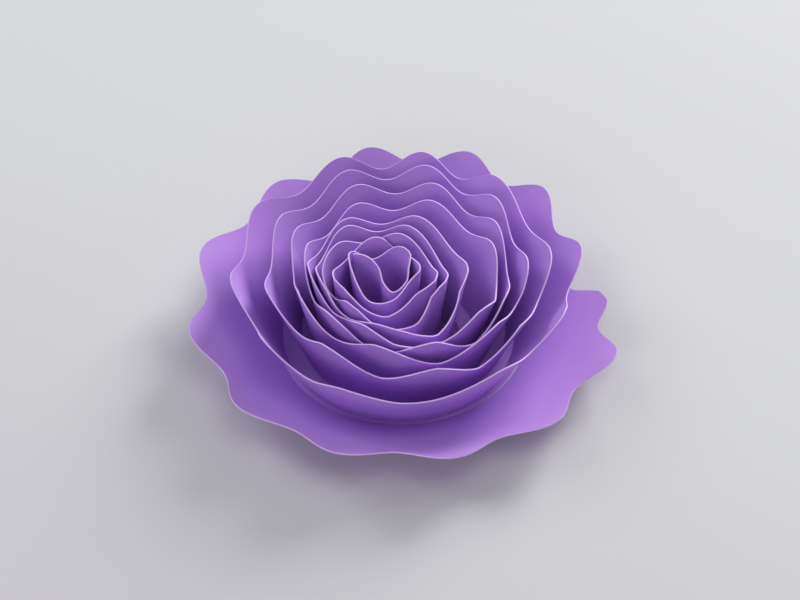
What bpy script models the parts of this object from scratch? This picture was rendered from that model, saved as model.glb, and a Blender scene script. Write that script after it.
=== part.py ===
import math

import bmesh
import bpy
import numpy as np

mm = 0.001
full_turn = 2 * math.pi

# Card. The whole flower is one spiral strip with a round tab at its inner end.
card_thickness = 0.3 * mm
strip_width = 19.6 * mm          # straight edge to the middle of the wavy edge
wave_on_skirt = 2.3 * mm         # half the height of the wave, outer turns
wave_at_heart = 1.4 * mm         # and at the heart of the roll
wave_settles = 8.0               # turn from which the wave has its smaller height

# The roll, counted in turns from the outer end. Of its straight edge, the foot:
# turn, half width, half depth, centre x, centre y
roll = (
    (0.0, 28.2, 28.2, 0.4, 0.0),
    (0.4, 27.0, 27.8, 0.2, -0.2),
    (0.7, 25.6, 26.7, 0.4, -0.1),
    (0.9, 25.7, 28.4, 0.3, 0.3),
    (1.4, 25.2, 26.3, 0.0, 0.0),
    (1.75, 24.3, 25.6, 0.4, 0.2),
    (2.4, 21.6, 23.5, 0.6, 1.1),
    (3.4, 18.9, 20.9, 1.0, 0.3),
    (4.4, 16.8, 17.9, 1.1, -1.5),
    (5.4, 14.6, 14.8, 0.2, -3.3),
    (5.65, 14.0, 14.3, -1.5, -3.8),
    (6.0, 12.5, 13.0, -1.2, -4.2),
    (6.4, 11.7, 11.8, -1.8, -4.4),
    (6.65, 11.3, 11.6, -3.4, -3.2),
    (7.0, 10.4, 10.8, -2.6, -4.0),
    (7.4, 9.9, 10.1, -3.2, -4.0),
    (7.6, 9.6, 9.8, -3.8, -4.4),
    (8.0, 8.7, 9.0, -2.9, -3.4),
    (8.4, 8.3, 8.2, -3.2, -3.4),
    (8.75, 7.2, 7.2, -4.0, -3.0),
    (8.88, 7.2, 7.2, -6.0, -1.6),
    (9.0, 7.2, 7.2, -4.1, -2.6),
    (9.1, 7.0, 7.0, -4.5, -1.4),
    (9.2, 6.8, 6.8, -3.4, -2.5),
    (9.3, 6.6, 6.6, -3.0, -2.9),
    (9.4, 6.4, 6.4, -1.8, -2.1),
    (9.5, 6.2, 6.2, -1.8, -2.0),
    (9.6, 5.9, 5.9, -3.0, -2.2),
    (9.7, 5.7, 5.7, -3.0, -4.5),
    (9.8, 5.5, 5.5, -2.9, -2.6),
    (9.9, 5.2, 5.2, -3.1, -2.4),
    (10.0, 5.0, 5.0, -4.4, -2.6),
    (10.1, 4.0, 4.0, -2.5, -2.7),
    (10.2, 3.0, 3.0, -2.1, -3.8),
    (10.3, 2.7, 2.7, -1.7, -1.7),
    (10.4, 2.5, 2.5, -0.9, 0.0),
    (10.5, 2.2, 2.2, -2.8, 0.2),
    (10.6, 2.0, 2.0, -6.8, -0.7),
)
roll_end = 10.6

# Round tab under the roll: its rim lies just inside the foot of the outermost turn
tab_inset = 0.4 * mm
tab_radius = roll[0][1] * mm - tab_inset
tab_sides = 72
neck_turn = -0.035               # where the cut between tab and strip begins
roll_turn = 0.07                 # where the strip has left the tab's rim for the roll
strip_tip = -0.14                # where the strip grows out of the tab's rim
neck_stations = 14

# Glue between the tab and the roll: it ends inside this turn
glue_row = 9
glue_turn, glue_reach, _, glue_x, glue_y = roll[glue_row]
glue_inset = 1.6 * mm
glue_squeeze = 0.7 * mm          # how uneven its edge is
glue_radius = glue_reach * mm - glue_inset
glue_thickness = 0.6 * mm
glue_lobes = 5
glue_sides = 60
glue_levels = ((0.0, 0.97), (0.5, 1.0), (1.0, 0.95))   # share of its thickness, spread of its edge
seat_gap = 0.3 * mm

# The foot climbs from the tab's rim on to the tab, and further in on to the glue
tab_seat = card_thickness + seat_gap
glue_seat = tab_seat + glue_thickness + seat_gap
on_tab_turn = 0.3
leaves_tab_turn = glue_turn - 1.0

# How far the strip leans outwards from upright: turn, degrees
lean = (
    (strip_tip, 90), (-0.10, 89), (neck_turn, 74), (0.05, 69), (0.25, 60), (0.45, 60), (0.58, 56),
    (0.65, 54), (0.75, 55), (0.87, 50), (0.97, 42), (1.05, 35), (1.3, 29), (1.6, 31), (1.75, 29),
    (2.1, 23), (2.6, 20), (3.5, 16), (4.5, 13), (6, 10), (8, 6.5), (roll_end, 3),
)

# How far single petals were bent further out, or back in, by hand: turn, degrees
bends = (
    (1.0, 0), (1.05, -3), (1.15, -5), (1.25, 0), (1.33, -1), (1.42, -4), (1.52, 0),
    (2.05, 0), (2.1, -1), (2.16, 4), (2.21, 0), (2.27, 1), (2.35, -4.5), (2.46, 0),
    (2.98, 0), (3.04, 3), (3.11, 1), (3.2, 3.5), (3.29, -5), (3.38, -4), (3.44, -5), (3.54, 0),
    (4.0, 0), (4.07, 1), (4.13, 5), (4.2, 0), (4.27, 1), (4.34, -3), (4.40, -4), (4.46, -3), (4.55, 0),
    (5.0, 0), (5.06, 4), (5.11, 2), (5.16, 4), (5.26, 5), (5.32, -3), (5.37, -5), (5.44, -4), (5.52, 0),
    (6.0, 0), (6.05, -2), (6.1, 2), (6.16, 8), (6.22, 2.5), (6.28, -1), (6.37, -4), (6.44, -4), (6.52, 0),
    (7.0, -1), (7.06, -4), (7.1, -4), (7.17, 5), (7.26, 5), (7.31, -1), (7.4, -5), (7.52, 0),
    (8.0, 0), (8.12, -4), (8.18, -1), (8.24, 3), (8.35, -2), (8.4, -3), (8.5, 0),
    (8.9, 0), (8.97, -2), (9.05, -2), (9.12, 0), (9.85, 0), (9.92, 1.5), (10.03, 1.5), (10.1, 0),
    (roll_end, 0),
)

# Share of the full width left: less at the tapered outer end and in deep hollows: turn, share
width_share = (
    (strip_tip, 0.03), (-0.08, 0.34), (-0.034, 0.56), (-0.024, 0.80), (-0.012, 0.86), (0.04, 1.0),
    (0.58, 1.0), (0.65, 0.94), (0.72, 1.0), (4.06, 1.0), (4.13, 0.89), (4.19, 1.0), (roll_end, 1.0),
)

# Tips of petals met on the way inwards: turn, petal
petals = (
    (-0.016, 0), (0.05, 1), (0.21, 3), (0.46, 6), (0.545, 7), (0.64, 8), (0.81, 10), (0.97, 12), (1.145, 14),
    (1.3, 15), (1.48, 17), (1.69, 19), (1.86, 21), (1.99, 22), (2.21, 24), (2.45, 26), (2.68, 28),
    (2.89, 30), (3.12, 32), (3.43, 34), (3.68, 36), (3.92, 38), (4.21, 40), (4.54, 42), (4.8, 44),
    (5.1, 46), (5.5, 48), (5.66, 49), (5.81, 50), (6.0, 51), (6.27, 52), (6.48, 53), (6.66, 54), (6.82, 55),
    (7.05, 56), (7.35, 57), (7.42, 57.5), (7.62, 58), (7.81, 59), (8.05, 60),
    (8.45, 61), (8.73, 62), (9.0, 63), (9.55, 64), (9.87, 65), (10.55, 66), (11.1, 67),
)
stations_per_petal = 8
stations_to_first_petal = 6
rows_across = 1

# Bends pressed into the card: turn, depth in millimetres
creases = (
    (2.45, 0.4), (3.43, 0.5), (4.04, 0.5), (5.0, 0.5), (7.04, 0.9), (7.46, 0.2),
    (8.05, 1.1), (8.45, 0.6), (9.03, 0.9), (9.55, 0.6),
)
crease_reach = 0.09              # part of a turn over which a crease fades

card_colour = (0.46, 0.24, 0.70)
glue_colour = (0.80, 0.76, 0.66)


def clear_scene():
    for obj in list(bpy.data.objects):
        bpy.data.objects.remove(obj, do_unlink=True)


def flower_collection():
    group = bpy.data.collections.new("paper_flower")
    bpy.context.scene.collection.children.link(group)
    return group


def finish(name, colour, roughness):
    material = bpy.data.materials.new(name)
    material.use_nodes = True
    shader = material.node_tree.nodes["Principled BSDF"]
    shader.inputs["Base Color"].default_value = (*colour, 1.0)
    shader.inputs["Roughness"].default_value = roughness
    shader.inputs["Metallic"].default_value = 0.0
    return material


def smooth_through(marks, turn):
    """Value at a turn on a smooth curve through the marks (turn, value, ...)."""
    table = np.array(marks, float)
    at, values = table[:, 0], table[:, 1:]
    slopes = np.gradient(values, at, axis=0)
    i = int(np.clip(np.searchsorted(at, turn) - 1, 0, len(at) - 2))
    span = at[i + 1] - at[i]
    t = (turn - at[i]) / span
    return ((1 + 2 * t) * (1 - t) ** 2 * values[i] + t * (1 - t) ** 2 * span * slopes[i]
            + t * t * (3 - 2 * t) * values[i + 1] + t * t * (t - 1) * span * slopes[i + 1])


def straight_through(marks, turn):
    """Value at a turn on straight lines between the marks (turn, value)."""
    at, values = zip(*marks)
    return float(np.interp(turn, at, values))


def crease_at(turn):
    """How far the pressed bends push the strip outwards at a turn."""
    return sum(depth * mm * max(0.0, 1 - abs(turn - place) / crease_reach) for place, depth in creases)


def ease(low, high, value):
    t = min(max((value - low) / (high - low), 0.0), 1.0)
    return t * t * (3 - 2 * t)


def foot_height(turn):
    """Height of the card's middle at the foot of the strip."""
    middle = card_thickness / 2
    height = middle + ease(neck_turn, on_tab_turn, turn) * (tab_seat - middle)
    return height + ease(leaves_tab_turn, glue_turn, turn) * (glue_seat - tab_seat)


def foot_of_strip(turn):
    """Point on the foot of the strip, and the outward direction there."""
    half_width, half_depth, centre_x, centre_y = smooth_through(roll, max(turn, 0.0)) * mm
    free = ease(neck_turn, roll_turn, turn)
    bend = crease_at(turn)
    half_width = tab_radius + free * (half_width - tab_radius) + bend
    half_depth = tab_radius + free * (half_depth - tab_radius) + bend
    angle = -full_turn * turn
    outward = np.array((math.cos(angle), math.sin(angle), 0.0))
    centre = np.array((centre_x * free, centre_y * free, foot_height(turn)))
    return centre + outward * (half_width, half_depth, 0.0), outward


def strip_height(turn):
    """Width of the strip from its straight edge to the wavy one."""
    petal = straight_through(petals, turn)
    wave = wave_on_skirt + (wave_at_heart - wave_on_skirt) * min(max(turn / wave_settles, 0.0), 1.0)
    full = strip_width + wave * math.cos(full_turn * petal)
    return full * straight_through(width_share, turn)


def strip_point(turn, share):
    """Point across the strip: share 0 on the straight edge, 1 on the wavy one."""
    foot, outward = foot_of_strip(turn)
    angle = math.radians(straight_through(lean, turn) + straight_through(bends, turn))
    across = outward * math.sin(angle) + np.array((0.0, 0.0, math.cos(angle)))
    return foot + across * share * strip_height(turn)


def round_point(radius, angle, height):
    return radius * math.cos(angle), radius * math.sin(angle), height


def stations():
    """Turns at which the strip is drawn: along the tab's rim, to the first petal, then petal by petal."""
    along_rim = list(np.linspace(strip_tip, neck_turn, neck_stations))
    to_first_petal = list(np.linspace(neck_turn, petals[0][0], stations_to_first_petal))[1:]
    count = int(petals[-1][1] * stations_per_petal)
    turns, tips = zip(*petals)
    by_petal = [float(np.interp(n / stations_per_petal, tips, turns)) for n in range(1, count)]
    return along_rim, to_first_petal + [turn for turn in by_petal if turn < roll_end] + [roll_end]


def add_column(bm, turn, foot=None):
    """Vertices across the strip at one turn, from the straight edge to the wavy one."""
    column = [foot or bm.verts.new(strip_point(turn, 0.0))]
    for row in range(1, rows_across + 1):
        column.append(bm.verts.new(strip_point(turn, row / rows_across)))
    return column


def make_sheet(group, material):
    """Tab and strip as one open surface, given the thickness of the card."""
    bm = bmesh.new()
    on_rim, along_strip = stations()
    rim = [bm.verts.new(strip_point(turn, 0.0)) for turn in on_rim]
    columns = [add_column(bm, turn, foot) for turn, foot in zip(on_rim, rim)]
    for turn in np.linspace(neck_turn, strip_tip + 1, tab_sides)[1:-1]:
        angle = -full_turn * turn
        rim.append(bm.verts.new(round_point(tab_radius, angle, card_thickness / 2)))
    bm.faces.new(rim)
    columns += [add_column(bm, turn) for turn in along_strip]
    for near, far in zip(columns, columns[1:]):
        for row in range(rows_across):
            bm.faces.new((near[row], near[row + 1], far[row + 1], far[row]))
    bmesh.ops.recalc_face_normals(bm, faces=bm.faces)
    sheet = add_mesh(group, "petal_spiral", bm, material)
    wall = sheet.modifiers.new("card", "SOLIDIFY")
    wall.thickness = card_thickness
    wall.offset = 0.0
    return sheet


def make_glue(group, material):
    """Uneven round pad of set glue that the straight edge of the roll stands on."""
    bm = bmesh.new()
    base = card_thickness + seat_gap
    rings = []
    for level, spread in glue_levels:
        ring = []
        for side in range(glue_sides):
            angle = full_turn * side / glue_sides
            lobe = math.sin(glue_lobes * angle) * math.cos(2 * angle)
            radius = spread * (glue_radius + glue_squeeze * lobe)
            x, y, z = round_point(radius, angle, base + level * glue_thickness)
            ring.append(bm.verts.new((x + glue_x * mm, y + glue_y * mm, z)))
        rings.append(ring)
    for low, high in zip(rings, rings[1:]):
        for side in range(glue_sides):
            after = (side + 1) % glue_sides
            bm.faces.new((low[side], low[after], high[after], high[side]))
    bm.faces.new(reversed(rings[0]))
    bm.faces.new(rings[-1])
    return add_mesh(group, "glue_pad", bm, material)


def add_mesh(group, name, bm, material):
    mesh = bpy.data.meshes.new(name)
    bm.to_mesh(mesh)
    bm.free()
    mesh.materials.append(material)
    mesh.shade_smooth()
    obj = bpy.data.objects.new(name, mesh)
    group.objects.link(obj)
    return obj


clear_scene()
flower = flower_collection()
make_sheet(flower, finish("purple_card", card_colour, 0.85))
make_glue(flower, finish("set_glue", glue_colour, 0.45))
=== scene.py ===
import math

import bmesh
import bpy
import numpy as np
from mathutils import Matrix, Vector


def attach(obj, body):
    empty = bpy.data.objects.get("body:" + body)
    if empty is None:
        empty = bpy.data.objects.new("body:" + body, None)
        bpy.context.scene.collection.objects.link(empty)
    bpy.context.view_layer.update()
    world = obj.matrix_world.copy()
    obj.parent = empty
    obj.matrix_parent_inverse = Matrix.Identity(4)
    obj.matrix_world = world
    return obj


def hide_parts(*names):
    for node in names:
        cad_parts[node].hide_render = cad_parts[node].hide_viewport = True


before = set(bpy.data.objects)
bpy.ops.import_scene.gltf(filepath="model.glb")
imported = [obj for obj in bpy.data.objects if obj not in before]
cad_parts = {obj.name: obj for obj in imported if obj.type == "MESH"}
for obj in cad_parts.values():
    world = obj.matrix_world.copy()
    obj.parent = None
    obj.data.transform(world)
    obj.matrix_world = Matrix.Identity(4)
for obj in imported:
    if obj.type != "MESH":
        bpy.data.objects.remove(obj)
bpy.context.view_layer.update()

mm = 0.001
fullTurn = 2 * math.pi


# node helpers

class Value:
    # a node's socket that can be used in Python sums
    def __init__(self, tree, socket):
        self.tree = tree
        self.socket = socket

    def sum(self, operation, first, second=None):
        sockets = {0: first} if second is None else {0: first, 1: second}
        return self.tree.node("ShaderNodeMath", {"operation": operation}, sockets)

    def __add__(self, other):
        return self.sum("ADD", self, other)

    def __radd__(self, other):
        return self.sum("ADD", other, self)

    def __sub__(self, other):
        return self.sum("SUBTRACT", self, other)

    def __rsub__(self, other):
        return self.sum("SUBTRACT", other, self)

    def __mul__(self, other):
        return self.sum("MULTIPLY", self, other)

    def __rmul__(self, other):
        return self.sum("MULTIPLY", other, self)

    def __truediv__(self, other):
        return self.sum("DIVIDE", self, other)

    def cos(self):
        return self.sum("COSINE", self)

    def sin(self):
        return self.sum("SINE", self)

    def round(self):
        return self.sum("ROUND", self)

    def atMost(self, other):
        return self.sum("MINIMUM", self, other)

    def atLeast(self, other):
        return self.sum("MAXIMUM", self, other)


class Tree:
    # adds nodes to a node tree: type, settings, then what goes into the sockets
    def __init__(self, nodeTree):
        self.nodes = nodeTree.nodes
        self.links = nodeTree.links

    def node(self, kind, settings=None, sockets=None, out=0):
        node = self.nodes.new(kind)
        for name, value in (settings or {}).items():
            setattr(node, name, value)
        for key, value in (sockets or {}).items():
            self.feed(node.inputs[key], value)
        return Value(self, node.outputs[out]) if len(node.outputs) else node

    def feed(self, socket, value):
        if isinstance(value, Value):
            self.links.new(value.socket, socket)
        else:
            socket.default_value = value

    def mixColour(self, factor, first, second):
        return self.node("ShaderNodeMix", {"data_type": "RGBA"}, {0: factor, 6: first, 7: second}, out=2)

    def objectPlace(self):
        return self.node("ShaderNodeTexCoord", out=3)


def startMaterial(name):
    material = bpy.data.materials.new(name)
    material.use_nodes = True
    shader = material.node_tree.nodes["Principled BSDF"]
    return material, Tree(material.node_tree), shader


# camera: straight on to the front, looking steeply down

camera = {
    "elevation": 46.0,
    "distance": 0.600,
    "lookAt": (0.00066, 0.00902, 0.0),
    "lens": 122.7,
    "sensor": 36.0,
    "nearest": 0.05,
}


def placeCamera():
    data = bpy.data.cameras.new("photoCamera")
    data.lens = camera["lens"]
    data.sensor_width = camera["sensor"]
    data.clip_start = camera["nearest"]
    obj = bpy.data.objects.new("photoCamera", data)
    tilt = math.radians(camera["elevation"])
    x, y, z = camera["lookAt"]
    obj.location = (x, y - camera["distance"] * math.cos(tilt), z + camera["distance"] * math.sin(tilt))
    obj.rotation_euler = (math.pi / 2 - tilt, 0.0, 0.0)
    bpy.context.scene.collection.objects.link(obj)
    bpy.context.scene.camera = obj


placeCamera()
print("camera placed")


# the flower: one spiral strip of card with its round tab, sizes in millimetres and turns

flower = {
    "cardThickness": 0.3,
    "stripWidth": 19.6,
    "waveOnSkirt": 2.3,
    "waveAtHeart": 1.4,
    "waveSettles": 8.0,
    # turn, half width, half depth, centre x, centre y of the straight edge that the roll stands on
    "roll": (
        (0.0, 28.2, 28.2, 0.4, 0.0),
        (0.4, 27.0, 27.8, 0.2, -0.2),
        (0.7, 25.6, 26.7, 0.4, -0.1),
        (0.9, 25.7, 28.4, 0.3, 0.3),
        (1.4, 25.2, 26.3, 0.0, 0.0),
        (1.75, 24.3, 25.6, 0.4, 0.2),
        (2.4, 21.6, 23.5, 0.6, 1.1),
        (3.4, 18.9, 20.9, 1.0, 0.3),
        (4.4, 16.8, 17.9, 1.1, -1.5),
        (5.4, 14.6, 14.8, 0.2, -3.3),
        (5.65, 14.0, 14.3, -1.5, -3.8),
        (6.0, 12.5, 13.0, -1.2, -4.2),
        (6.4, 11.7, 11.8, -1.8, -4.4),
        (6.65, 11.3, 11.6, -3.4, -3.2),
        (7.0, 10.4, 10.8, -2.6, -4.0),
        (7.4, 9.9, 10.1, -3.2, -4.0),
        (7.6, 9.6, 9.8, -3.8, -4.4),
        (8.0, 8.7, 9.0, -2.9, -3.4),
        (8.4, 8.3, 8.2, -3.2, -3.4),
        (8.75, 7.2, 7.2, -4.0, -3.0),
        (8.88, 7.2, 7.2, -6.0, -1.6),
        (9.0, 7.2, 7.2, -4.1, -2.6),
        (9.1, 7.0, 7.0, -4.5, -1.4),
        (9.2, 6.8, 6.8, -3.4, -2.5),
        (9.3, 6.6, 6.6, -3.0, -2.9),
        (9.4, 6.4, 6.4, -1.8, -2.1),
        (9.5, 6.2, 6.2, -1.8, -2.0),
        (9.6, 5.9, 5.9, -3.0, -2.2),
        (9.7, 5.7, 5.7, -3.0, -4.5),
        (9.8, 5.5, 5.5, -2.9, -2.6),
        (9.9, 5.2, 5.2, -3.1, -2.4),
        (10.0, 5.0, 5.0, -4.4, -2.6),
        (10.1, 4.0, 4.0, -2.5, -2.7),
        (10.2, 3.0, 3.0, -2.1, -3.8),
        (10.3, 2.7, 2.7, -1.7, -1.7),
        (10.4, 2.5, 2.5, -0.9, 0.0),
        (10.5, 2.2, 2.2, -2.8, 0.2),
        (10.6, 2.0, 2.0, -6.8, -0.7),
    ),
    "rollEnd": 10.6,
    "tabInset": 0.4,
    "neckTurn": -0.035,
    "rollTurn": 0.07,
    "stripTip": -0.14,
    "seatGap": 0.3,
    "glueThickness": 0.6,
    "onTabTurn": 0.3,
    "leavesTabTurn": 4.4,
    "onGlueTurn": 5.4,
    # turn, degrees outwards from upright
    "lean": (
        (-0.14, 90), (-0.10, 89), (-0.035, 74), (0.05, 69), (0.25, 60), (0.45, 60), (0.58, 56),
        (0.65, 54), (0.75, 55), (0.87, 50), (0.97, 42), (1.05, 35), (1.3, 29), (1.6, 31), (1.75, 29),
        (2.1, 23), (2.6, 20), (3.5, 16), (4.5, 13), (6, 10), (8, 6.5), (10.6, 3),
    ),
    # turn, degrees by which single petals were bent further out, or back in
    "bends": (
        (1.0, 0), (1.05, -3), (1.15, -5), (1.25, 0), (1.33, -1), (1.42, -4), (1.52, 0),
        (2.05, 0), (2.1, -1), (2.16, 4), (2.21, 0), (2.27, 1), (2.35, -4.5), (2.46, 0),
        (2.98, 0), (3.04, 3), (3.11, 1), (3.2, 3.5), (3.29, -5), (3.38, -4), (3.44, -5), (3.54, 0),
        (4.0, 0), (4.07, 1), (4.13, 5), (4.2, 0), (4.27, 1), (4.34, -3), (4.40, -4), (4.46, -3), (4.55, 0),
        (5.0, 0), (5.06, 4), (5.11, 2), (5.16, 4), (5.26, 5), (5.32, -3), (5.37, -5), (5.44, -4), (5.52, 0),
        (6.0, 0), (6.05, -2), (6.1, 2), (6.16, 8), (6.22, 2.5), (6.28, -1), (6.37, -4), (6.44, -4),
        (6.52, 0), (7.0, -1), (7.06, -4), (7.1, -4), (7.17, 5), (7.26, 5), (7.31, -1), (7.4, -5),
        (7.52, 0),
        (8.0, 0), (8.12, -4), (8.18, -1), (8.24, 3), (8.35, -2), (8.4, -3), (8.5, 0),
        (8.9, 0), (8.97, -2), (9.05, -2), (9.12, 0), (9.85, 0), (9.92, 1.5), (10.03, 1.5), (10.1, 0),
        (10.6, 0),
    ),
    # turn, share of the full width left: less at the tapered outer end and in deep hollows
    "widthShare": (
        (-0.14, 0.03), (-0.08, 0.34), (-0.034, 0.56), (-0.024, 0.80), (-0.012, 0.86), (0.04, 1.0),
        (0.58, 1.0), (0.65, 0.94), (0.72, 1.0), (4.06, 1.0), (4.13, 0.89), (4.19, 1.0), (10.6, 1.0),
    ),
    # turn, petal: where the tips of the wavy edge come
    "petals": (
        (-0.016, 0), (0.05, 1), (0.21, 3), (0.46, 6), (0.545, 7), (0.64, 8), (0.81, 10), (0.97, 12),
        (1.145, 14), (1.3, 15), (1.48, 17), (1.69, 19), (1.86, 21), (1.99, 22), (2.21, 24),
        (2.45, 26), (2.68, 28),
        (2.89, 30), (3.12, 32), (3.43, 34), (3.68, 36), (3.92, 38), (4.21, 40), (4.54, 42), (4.8, 44),
        (5.1, 46), (5.5, 48), (5.66, 49), (5.81, 50), (6.0, 51), (6.27, 52), (6.48, 53), (6.66, 54),
        (6.82, 55), (7.05, 56), (7.35, 57), (7.42, 57.5), (7.62, 58), (7.81, 59), (8.05, 60),
        (8.45, 61), (8.73, 62), (9.0, 63), (9.55, 64), (9.87, 65), (10.55, 66), (11.1, 67),
    ),
    # turn, depth of the bends pressed into the card
    "creases": (
        (2.45, 0.4), (3.43, 0.5), (4.04, 0.5), (5.0, 0.5), (7.04, 0.9), (7.46, 0.2),
        (8.05, 1.1), (8.45, 0.6), (9.03, 0.9), (9.55, 0.6),
    ),
    "creaseReach": 0.09,
    "neckStations": 40,
    "stationsToFirstPetal": 10,
    "stationsPerPetal": 26,
    "tabSides": 160,
    "rowsAcross": 10,
    "weldGap": 0.004,
    "sharpAngle": 50,
}


def smoothThrough(marks, turn):
    table = np.array(marks, float)
    at, values = table[:, 0], table[:, 1:]
    slopes = np.gradient(values, at, axis=0)
    i = int(np.clip(np.searchsorted(at, turn) - 1, 0, len(at) - 2))
    span = at[i + 1] - at[i]
    t = (turn - at[i]) / span
    return ((1 + 2 * t) * (1 - t) ** 2 * values[i] + t * (1 - t) ** 2 * span * slopes[i]
            + t * t * (3 - 2 * t) * values[i + 1] + t * t * (t - 1) * span * slopes[i + 1])


def straightThrough(marks, turn):
    at, values = zip(*marks)
    return float(np.interp(turn, at, values))


def ease(low, high, value):
    t = min(max((value - low) / (high - low), 0.0), 1.0)
    return t * t * (3 - 2 * t)


def creaseAt(turn):
    reach = flower["creaseReach"]
    return sum(depth * max(0.0, 1 - abs(turn - place) / reach) for place, depth in flower["creases"])


def footHeight(turn):
    middle = flower["cardThickness"] / 2
    tabSeat = flower["cardThickness"] + flower["seatGap"]
    glueSeat = tabSeat + flower["glueThickness"] + flower["seatGap"]
    height = middle + ease(flower["neckTurn"], flower["onTabTurn"], turn) * (tabSeat - middle)
    return height + ease(flower["leavesTabTurn"], flower["onGlueTurn"], turn) * (glueSeat - tabSeat)


def leanAt(turn):
    return straightThrough(flower["lean"], turn) + straightThrough(flower["bends"], turn)


def tabRadius():
    return flower["roll"][0][1] - flower["tabInset"]


def footOfStrip(turn):
    halfWidth, halfDepth, centreX, centreY = smoothThrough(flower["roll"], max(turn, 0.0))
    free = ease(flower["neckTurn"], flower["rollTurn"], turn)
    bend = creaseAt(turn)
    halfWidth = tabRadius() + free * (halfWidth - tabRadius()) + bend
    halfDepth = tabRadius() + free * (halfDepth - tabRadius()) + bend
    angle = -fullTurn * turn
    outward = (math.cos(angle), math.sin(angle))
    x = centreX * free + halfWidth * outward[0]
    y = centreY * free + halfDepth * outward[1]
    return x, y, footHeight(turn)


def stripTurns():
    tip, neck = flower["stripTip"], flower["neckTurn"]
    turns, tips = zip(*flower["petals"])
    count = int(tips[-1] * flower["stationsPerPetal"])
    onRim = list(np.linspace(tip, neck, flower["neckStations"]))
    toFirst = list(np.linspace(neck, turns[0], flower["stationsToFirstPetal"]))[1:]
    byPetal = [float(np.interp(n / flower["stationsPerPetal"], tips, turns)) for n in range(1, count)]
    return onRim, toFirst + [turn for turn in byPetal if turn < flower["rollEnd"]] + [flower["rollEnd"]]


def pathMesh():
    # the strip's straight edge as a chain of points, and the tab's rim as one flat face
    onRim, along = stripTurns()
    turns = onRim + along
    rim = [tuple(np.array(footOfStrip(turn)) * mm) for turn in onRim]
    for turn in np.linspace(flower["neckTurn"], flower["stripTip"] + 1, flower["tabSides"])[1:-1]:
        angle = -fullTurn * turn
        rim.append((tabRadius() * mm * math.cos(angle), tabRadius() * mm * math.sin(angle),
                    flower["cardThickness"] * mm / 2))
    path = [tuple(np.array(footOfStrip(turn)) * mm) for turn in turns]
    first = len(rim)
    mesh = bpy.data.meshes.new("stripPath")
    edges = [(first + n, first + n + 1) for n in range(len(path) - 1)]
    mesh.from_pydata(rim + path, edges, [list(reversed(range(first)))])
    blank = [0.0] * first
    marks = {
        "turn": blank + turns,
        "petal": blank + [straightThrough(flower["petals"], turn) for turn in turns],
        "lean": blank + [math.radians(leanAt(turn)) for turn in turns],
        "cut": blank + [straightThrough(flower["widthShare"], turn) for turn in turns],
        "onPath": blank + [1.0] * len(turns),
    }
    for name, values in marks.items():
        mesh.attributes.new(name, "FLOAT", "POINT").data.foreach_set("value", values)
    return mesh


def spiralTree(cardMaterial):
    # lays the strip's width across the path, adds the tab and welds them at the neck
    group = bpy.data.node_groups.new("wavyStrip", "GeometryNodeTree")
    group.is_modifier = True
    group.interface.new_socket("Path", in_out="INPUT", socket_type="NodeSocketGeometry")
    for name in ("Strip width", "Wave on skirt", "Wave at heart", "Wave settles"):
        group.interface.new_socket(name, in_out="INPUT", socket_type="NodeSocketFloat")
    group.interface.new_socket("Rows across", in_out="INPUT", socket_type="NodeSocketInt")
    group.interface.new_socket("Sheet", in_out="OUTPUT", socket_type="NodeSocketGeometry")
    tree = Tree(group)
    inputs = group.nodes.new("NodeGroupInput")
    whole, width, waveSkirt, waveHeart, settles, rows = [Value(tree, s) for s in inputs.outputs[:6]]

    def mark(name):
        return tree.node("GeometryNodeInputNamedAttribute", {"data_type": "FLOAT"}, {"Name": name})

    isPath = tree.node("FunctionNodeCompare", {"data_type": "FLOAT", "operation": "GREATER_THAN"},
                       {0: mark("onPath"), 1: 0.5})
    path = tree.node("GeometryNodeSeparateGeometry", {"domain": "POINT"}, {0: whole, 1: isPath})
    tab = Value(tree, path.socket.node.outputs[1])
    count = tree.node("GeometryNodeAttributeDomainSize", {"component": "MESH"}, {0: path})
    grid = tree.node("GeometryNodeMeshGrid", None, {"Size X": 1.0, "Size Y": 1.0, "Vertices X": count,
                                                     "Vertices Y": rows + 1})
    place = tree.node("ShaderNodeSeparateXYZ", None, {0: tree.node("GeometryNodeInputPosition")})
    across = Value(tree, place.socket.node.outputs[1]) + 0.5
    station = ((place + 0.5) * (count - 1)).round()

    def sampled(value, kind="FLOAT"):
        return tree.node("GeometryNodeSampleIndex", {"data_type": kind, "domain": "POINT"},
                         {"Geometry": path, "Value": value, "Index": station})

    turn = sampled(mark("turn"))
    petal = sampled(mark("petal"))
    lean = sampled(mark("lean"))
    cut = sampled(mark("cut"))
    foot = sampled(tree.node("GeometryNodeInputPosition"), "FLOAT_VECTOR")
    wave = waveSkirt + (waveHeart - waveSkirt) * (turn / settles).atLeast(0.0).atMost(1.0)
    reach = (width + wave * (petal * fullTurn).cos()) * cut * across
    angle = turn * -fullTurn
    step = tree.node("ShaderNodeCombineXYZ", None, {
        0: angle.cos() * lean.sin() * reach, 1: angle.sin() * lean.sin() * reach, 2: lean.cos() * reach})
    spot = tree.node("ShaderNodeVectorMath", {"operation": "ADD"}, {0: foot, 1: step})
    strip = tree.node("GeometryNodeSetPosition", None, {"Geometry": grid, "Position": spot})
    both = group.nodes.new("GeometryNodeJoinGeometry")
    for part in (tab, strip):
        group.links.new(part.socket, both.inputs[0])
    welded = tree.node("GeometryNodeMergeByDistance", None,
                       {"Geometry": Value(tree, both.outputs[0]), "Distance": flower["weldGap"] * mm})
    real = tree.node("GeometryNodeRealizeInstances", None, {0: welded})
    done = tree.node("GeometryNodeSetMaterial", None, {"Geometry": real, "Material": cardMaterial})
    tree.node("NodeGroupOutput", None, {0: done})
    return group


def setInputs(modifier, values):
    for item in modifier.node_group.interface.items_tree:
        if item.in_out == "INPUT" and item.name in values:
            modifier[item.identifier] = values[item.name]


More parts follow.
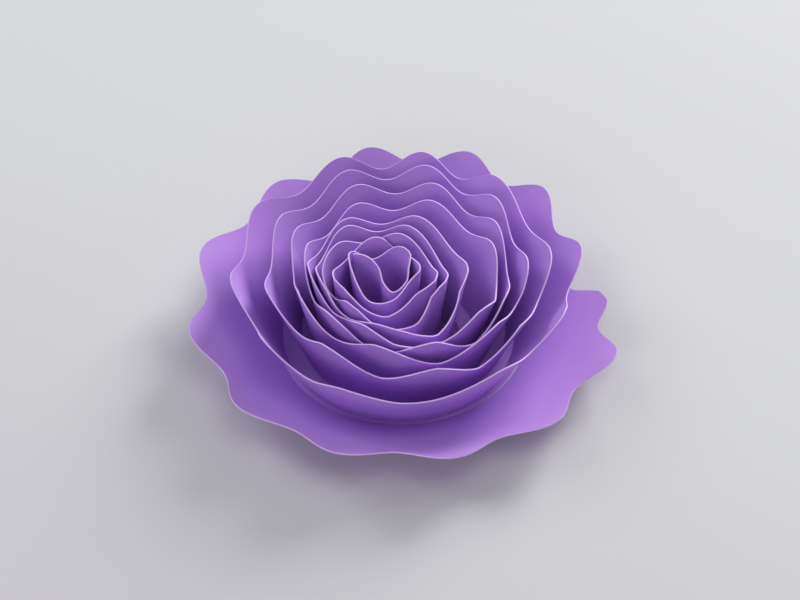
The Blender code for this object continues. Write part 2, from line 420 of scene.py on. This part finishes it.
def plainMesh(obj, name):
    ready = obj.evaluated_get(bpy.context.evaluated_depsgraph_get())
    mesh = bpy.data.meshes.new_from_object(ready)
    mesh.name = name
    obj.modifiers.clear()
    obj.data = mesh
    return mesh


def outwards(mesh):
    bm = bmesh.new()
    bm.from_mesh(mesh)
    bmesh.ops.recalc_face_normals(bm, faces=bm.faces)
    bm.to_mesh(mesh)
    bm.free()


# card and glue finishes

card = {
    "faceColour": (0.54, 0.295, 0.79, 1.0),
    "faceDeep": (0.47, 0.245, 0.73, 1.0),
    # painted highlight: the cut edges are painted lighter than the faces, standing in for the light they
    # catch
    "edgeHighlightColour": (0.74, 0.52, 0.91, 1.0),
    "edgeHighlightDeep": (0.65, 0.42, 0.84, 1.0),
    "mottleScale": 90.0,
    "fibreScale": 2600.0,
    "toothScale": 6500.0,
    "mottleShare": 0.6,
    "fibreShare": 0.8,
    "shadeDrop": 0.2,
    "roughness": 0.74,
    "roughnessSpread": 0.12,
    "sheen": 0.5,
    "bumpStrength": 0.35,
    "bumpDepth": 0.00004,
    "bumpFibre": 0.6,
    "bumpTooth": 0.4,
}


def cardFinish(name, light, deep):
    material, tree, shader = startMaterial(name)
    where = tree.objectPlace()
    mottle = tree.node("ShaderNodeTexNoise", None, {
        "Vector": where, "Scale": card["mottleScale"], "Detail": 3.0})
    fibre = tree.node("ShaderNodeTexNoise", None, {
        "Vector": where, "Scale": card["fibreScale"], "Detail": 4.0, "Roughness": 0.6, "Distortion": 0.8})
    tooth = tree.node("ShaderNodeTexNoise", None, {
        "Vector": where, "Scale": card["toothScale"], "Detail": 2.0})
    shade = mottle * card["mottleShare"] + fibre * card["fibreShare"] - card["shadeDrop"]
    shade = shade.atLeast(0.0).atMost(1.0)
    tree.feed(shader.inputs["Base Color"], tree.mixColour(shade, deep, light))
    spread = card["roughnessSpread"]
    tree.feed(shader.inputs["Roughness"], fibre * spread + (card["roughness"] - spread / 2))
    grain = fibre * card["bumpFibre"] + tooth * card["bumpTooth"]
    bump = tree.node("ShaderNodeBump", None, {
        "Strength": card["bumpStrength"], "Distance": card["bumpDepth"], "Height": grain})
    tree.feed(shader.inputs["Normal"], bump)
    shader.inputs["Specular IOR Level"].default_value = card["sheen"]
    return material


glue = {
    # clear glue shows the purple of the card under it, but is painted much darker than the card: painted
    # shade of the deep hollow at the heart
    "deep": (0.17, 0.08, 0.30, 1.0),
    "light": (0.24, 0.13, 0.38, 1.0),
    "cloudScale": 260.0,
    "roughness": 0.25,
    "roughnessSpread": 0.25,
    "bumpStrength": 0.4,
    "bumpDepth": 0.0002,
}


def glueFinish():
    material, tree, shader = startMaterial("clearSetGlue")
    where = tree.objectPlace()
    cloud = tree.node("ShaderNodeTexNoise", None, {
        "Vector": where, "Scale": glue["cloudScale"], "Detail": 3.0})
    # the glue's dark colours are painted shade of the hollow at the heart
    tree.feed(shader.inputs["Base Color"], tree.mixColour(cloud, glue["deep"], glue["light"]))
    tree.feed(shader.inputs["Roughness"], cloud * glue["roughnessSpread"] + glue["roughness"])
    tree.feed(shader.inputs["Normal"], tree.node("ShaderNodeBump", None, {
        "Strength": glue["bumpStrength"], "Distance": glue["bumpDepth"], "Height": cloud}))
    return material


def makeSpiral():
    face = cardFinish("purpleCard", card["faceColour"], card["faceDeep"])
    edge = cardFinish("purpleCutEdgeHighlight", card["edgeHighlightColour"], card["edgeHighlightDeep"])
    obj = bpy.data.objects.new("petalSpiral", pathMesh())
    bpy.context.scene.collection.objects.link(obj)
    modifier = obj.modifiers.new("wavyStrip", "NODES")
    modifier.node_group = spiralTree(face)
    setInputs(modifier, {
        "Strip width": flower["stripWidth"] * mm,
        "Wave on skirt": flower["waveOnSkirt"] * mm,
        "Wave at heart": flower["waveAtHeart"] * mm,
        "Wave settles": flower["waveSettles"],
        "Rows across": flower["rowsAcross"],
    })
    mesh = plainMesh(obj, "petalSpiral")
    outwards(mesh)
    mesh.materials.clear()
    for material in (face, edge):
        mesh.materials.append(material)
    mesh.shade_smooth()
    wall = obj.modifiers.new("cardThickness", "SOLIDIFY")
    wall.thickness = flower["cardThickness"] * mm
    wall.offset = 0.0
    # the cut rims get the lighter edge colours, a painted highlight
    wall.material_offset_rim = 1
    solid = plainMesh(obj, "petalSpiral")
    solid.set_sharp_from_angle(angle=math.radians(flower["sharpAngle"]))
    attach(obj, "root")
    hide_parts("petal_spiral")
    print("petal spiral made:", len(solid.polygons), "faces")


def finishGlue():
    obj = bpy.data.objects["glue_pad"]
    for slot in obj.material_slots:
        slot.material = glueFinish()


makeSpiral()
finishGlue()
print("glue finished")


# floor and light

studio = {
    "floorSize": 6.0,
    "floorPale": (0.64, 0.64, 0.645, 1.0),
    "floorPaintedShadeMauve": (0.60, 0.57, 0.61, 1.0),
    # painted shade and painted purple bounce light: the floor is painted darker and mauve towards the front
    # and the left, where the flower shades it and throws its purple light: part per metre
    "paintedShadeLeft": 3.5,
    "paintedShadeFront": 6.0,
    "paintedShadeStart": 0.05,
    "floorRoughness": 0.7,
    "floorSheen": 0.2,
    "worldColour": (0.92, 0.95, 1.0, 1.0),
    "worldStrength": 0.30,
    "backColour": (0.70, 0.70, 0.71, 1.0),
    # name, place in metres, size across, watts, colour
    "lamps": (
        ("windowRight", (0.53, 0.73, 0.44), 0.5, 9.0, (1.0, 0.99, 0.98)),
        ("windowLeft", (-0.68, 0.39, 0.62), 0.6, 2.8, (0.93, 0.96, 1.0)),
        ("wallFront", (-0.38, -0.82, 0.43), 0.6, 2.1, (0.98, 0.97, 1.0)),
        ("lampAbove", (0.20, -0.25, 0.95), 0.6, 1.5, (1.0, 1.0, 1.0)),
    ),
}


def floorFinish():
    material, tree, shader = startMaterial("paleTable")
    place = tree.node("ShaderNodeSeparateXYZ", None, {0: tree.objectPlace()})
    y = Value(tree, place.socket.node.outputs[1])
    # painted shade and painted purple bounce light from the flower, growing towards the front and the left
    near = place * -studio["paintedShadeLeft"] - y * studio["paintedShadeFront"] + studio["paintedShadeStart"]
    near = near.atLeast(0.0).atMost(1.0)
    tree.feed(shader.inputs["Base Color"], tree.mixColour(near, studio["floorPale"], studio["floorPaintedShadeMauve"]))
    shader.inputs["Roughness"].default_value = studio["floorRoughness"]
    shader.inputs["Specular IOR Level"].default_value = studio["floorSheen"]
    return material


def makeFloor():
    half = studio["floorSize"] / 2
    mesh = bpy.data.meshes.new("tableTop")
    corners = [(-half, -half, 0), (half, -half, 0), (half, half, 0), (-half, half, 0)]
    mesh.from_pydata(corners, [], [(0, 1, 2, 3)])
    mesh.materials.append(floorFinish())
    obj = bpy.data.objects.new("tableTop", mesh)
    bpy.context.scene.collection.objects.link(obj)


def addLamp(name, place, size, power, colour):
    data = bpy.data.lights.new(name, "AREA")
    data.shape = "DISK"
    data.size = size
    data.energy = power
    data.color = colour
    obj = bpy.data.objects.new(name, data)
    obj.location = place
    obj.rotation_euler = (-Vector(place)).to_track_quat("-Z", "Y").to_euler()
    bpy.context.scene.collection.objects.link(obj)


def lightStudio():
    world = bpy.data.worlds.new("paleRoom")
    bpy.context.scene.world = world
    world.use_nodes = True
    tree = Tree(world.node_tree)
    rays = world.node_tree.nodes.new("ShaderNodeLightPath")
    seen = Value(tree, rays.outputs["Is Camera Ray"]) + Value(tree, rays.outputs["Is Glossy Ray"])
    seen = (seen + Value(tree, rays.outputs["Is Transmission Ray"])).atMost(1.0)
    lit = tree.node("ShaderNodeBackground", None, {0: studio["worldColour"], 1: studio["worldStrength"]})
    shown = tree.node("ShaderNodeBackground", None, {0: studio["backColour"], 1: 1.0})
    mixed = tree.node("ShaderNodeMixShader", None, {0: seen, 1: lit, 2: shown})
    world.node_tree.links.new(mixed.socket, world.node_tree.nodes["World Output"].inputs["Surface"])
    for lamp in studio["lamps"]:
        addLamp(*lamp)


makeFloor()
lightStudio()
bpy.context.scene.view_settings.view_transform = "Standard"
print("studio lit")
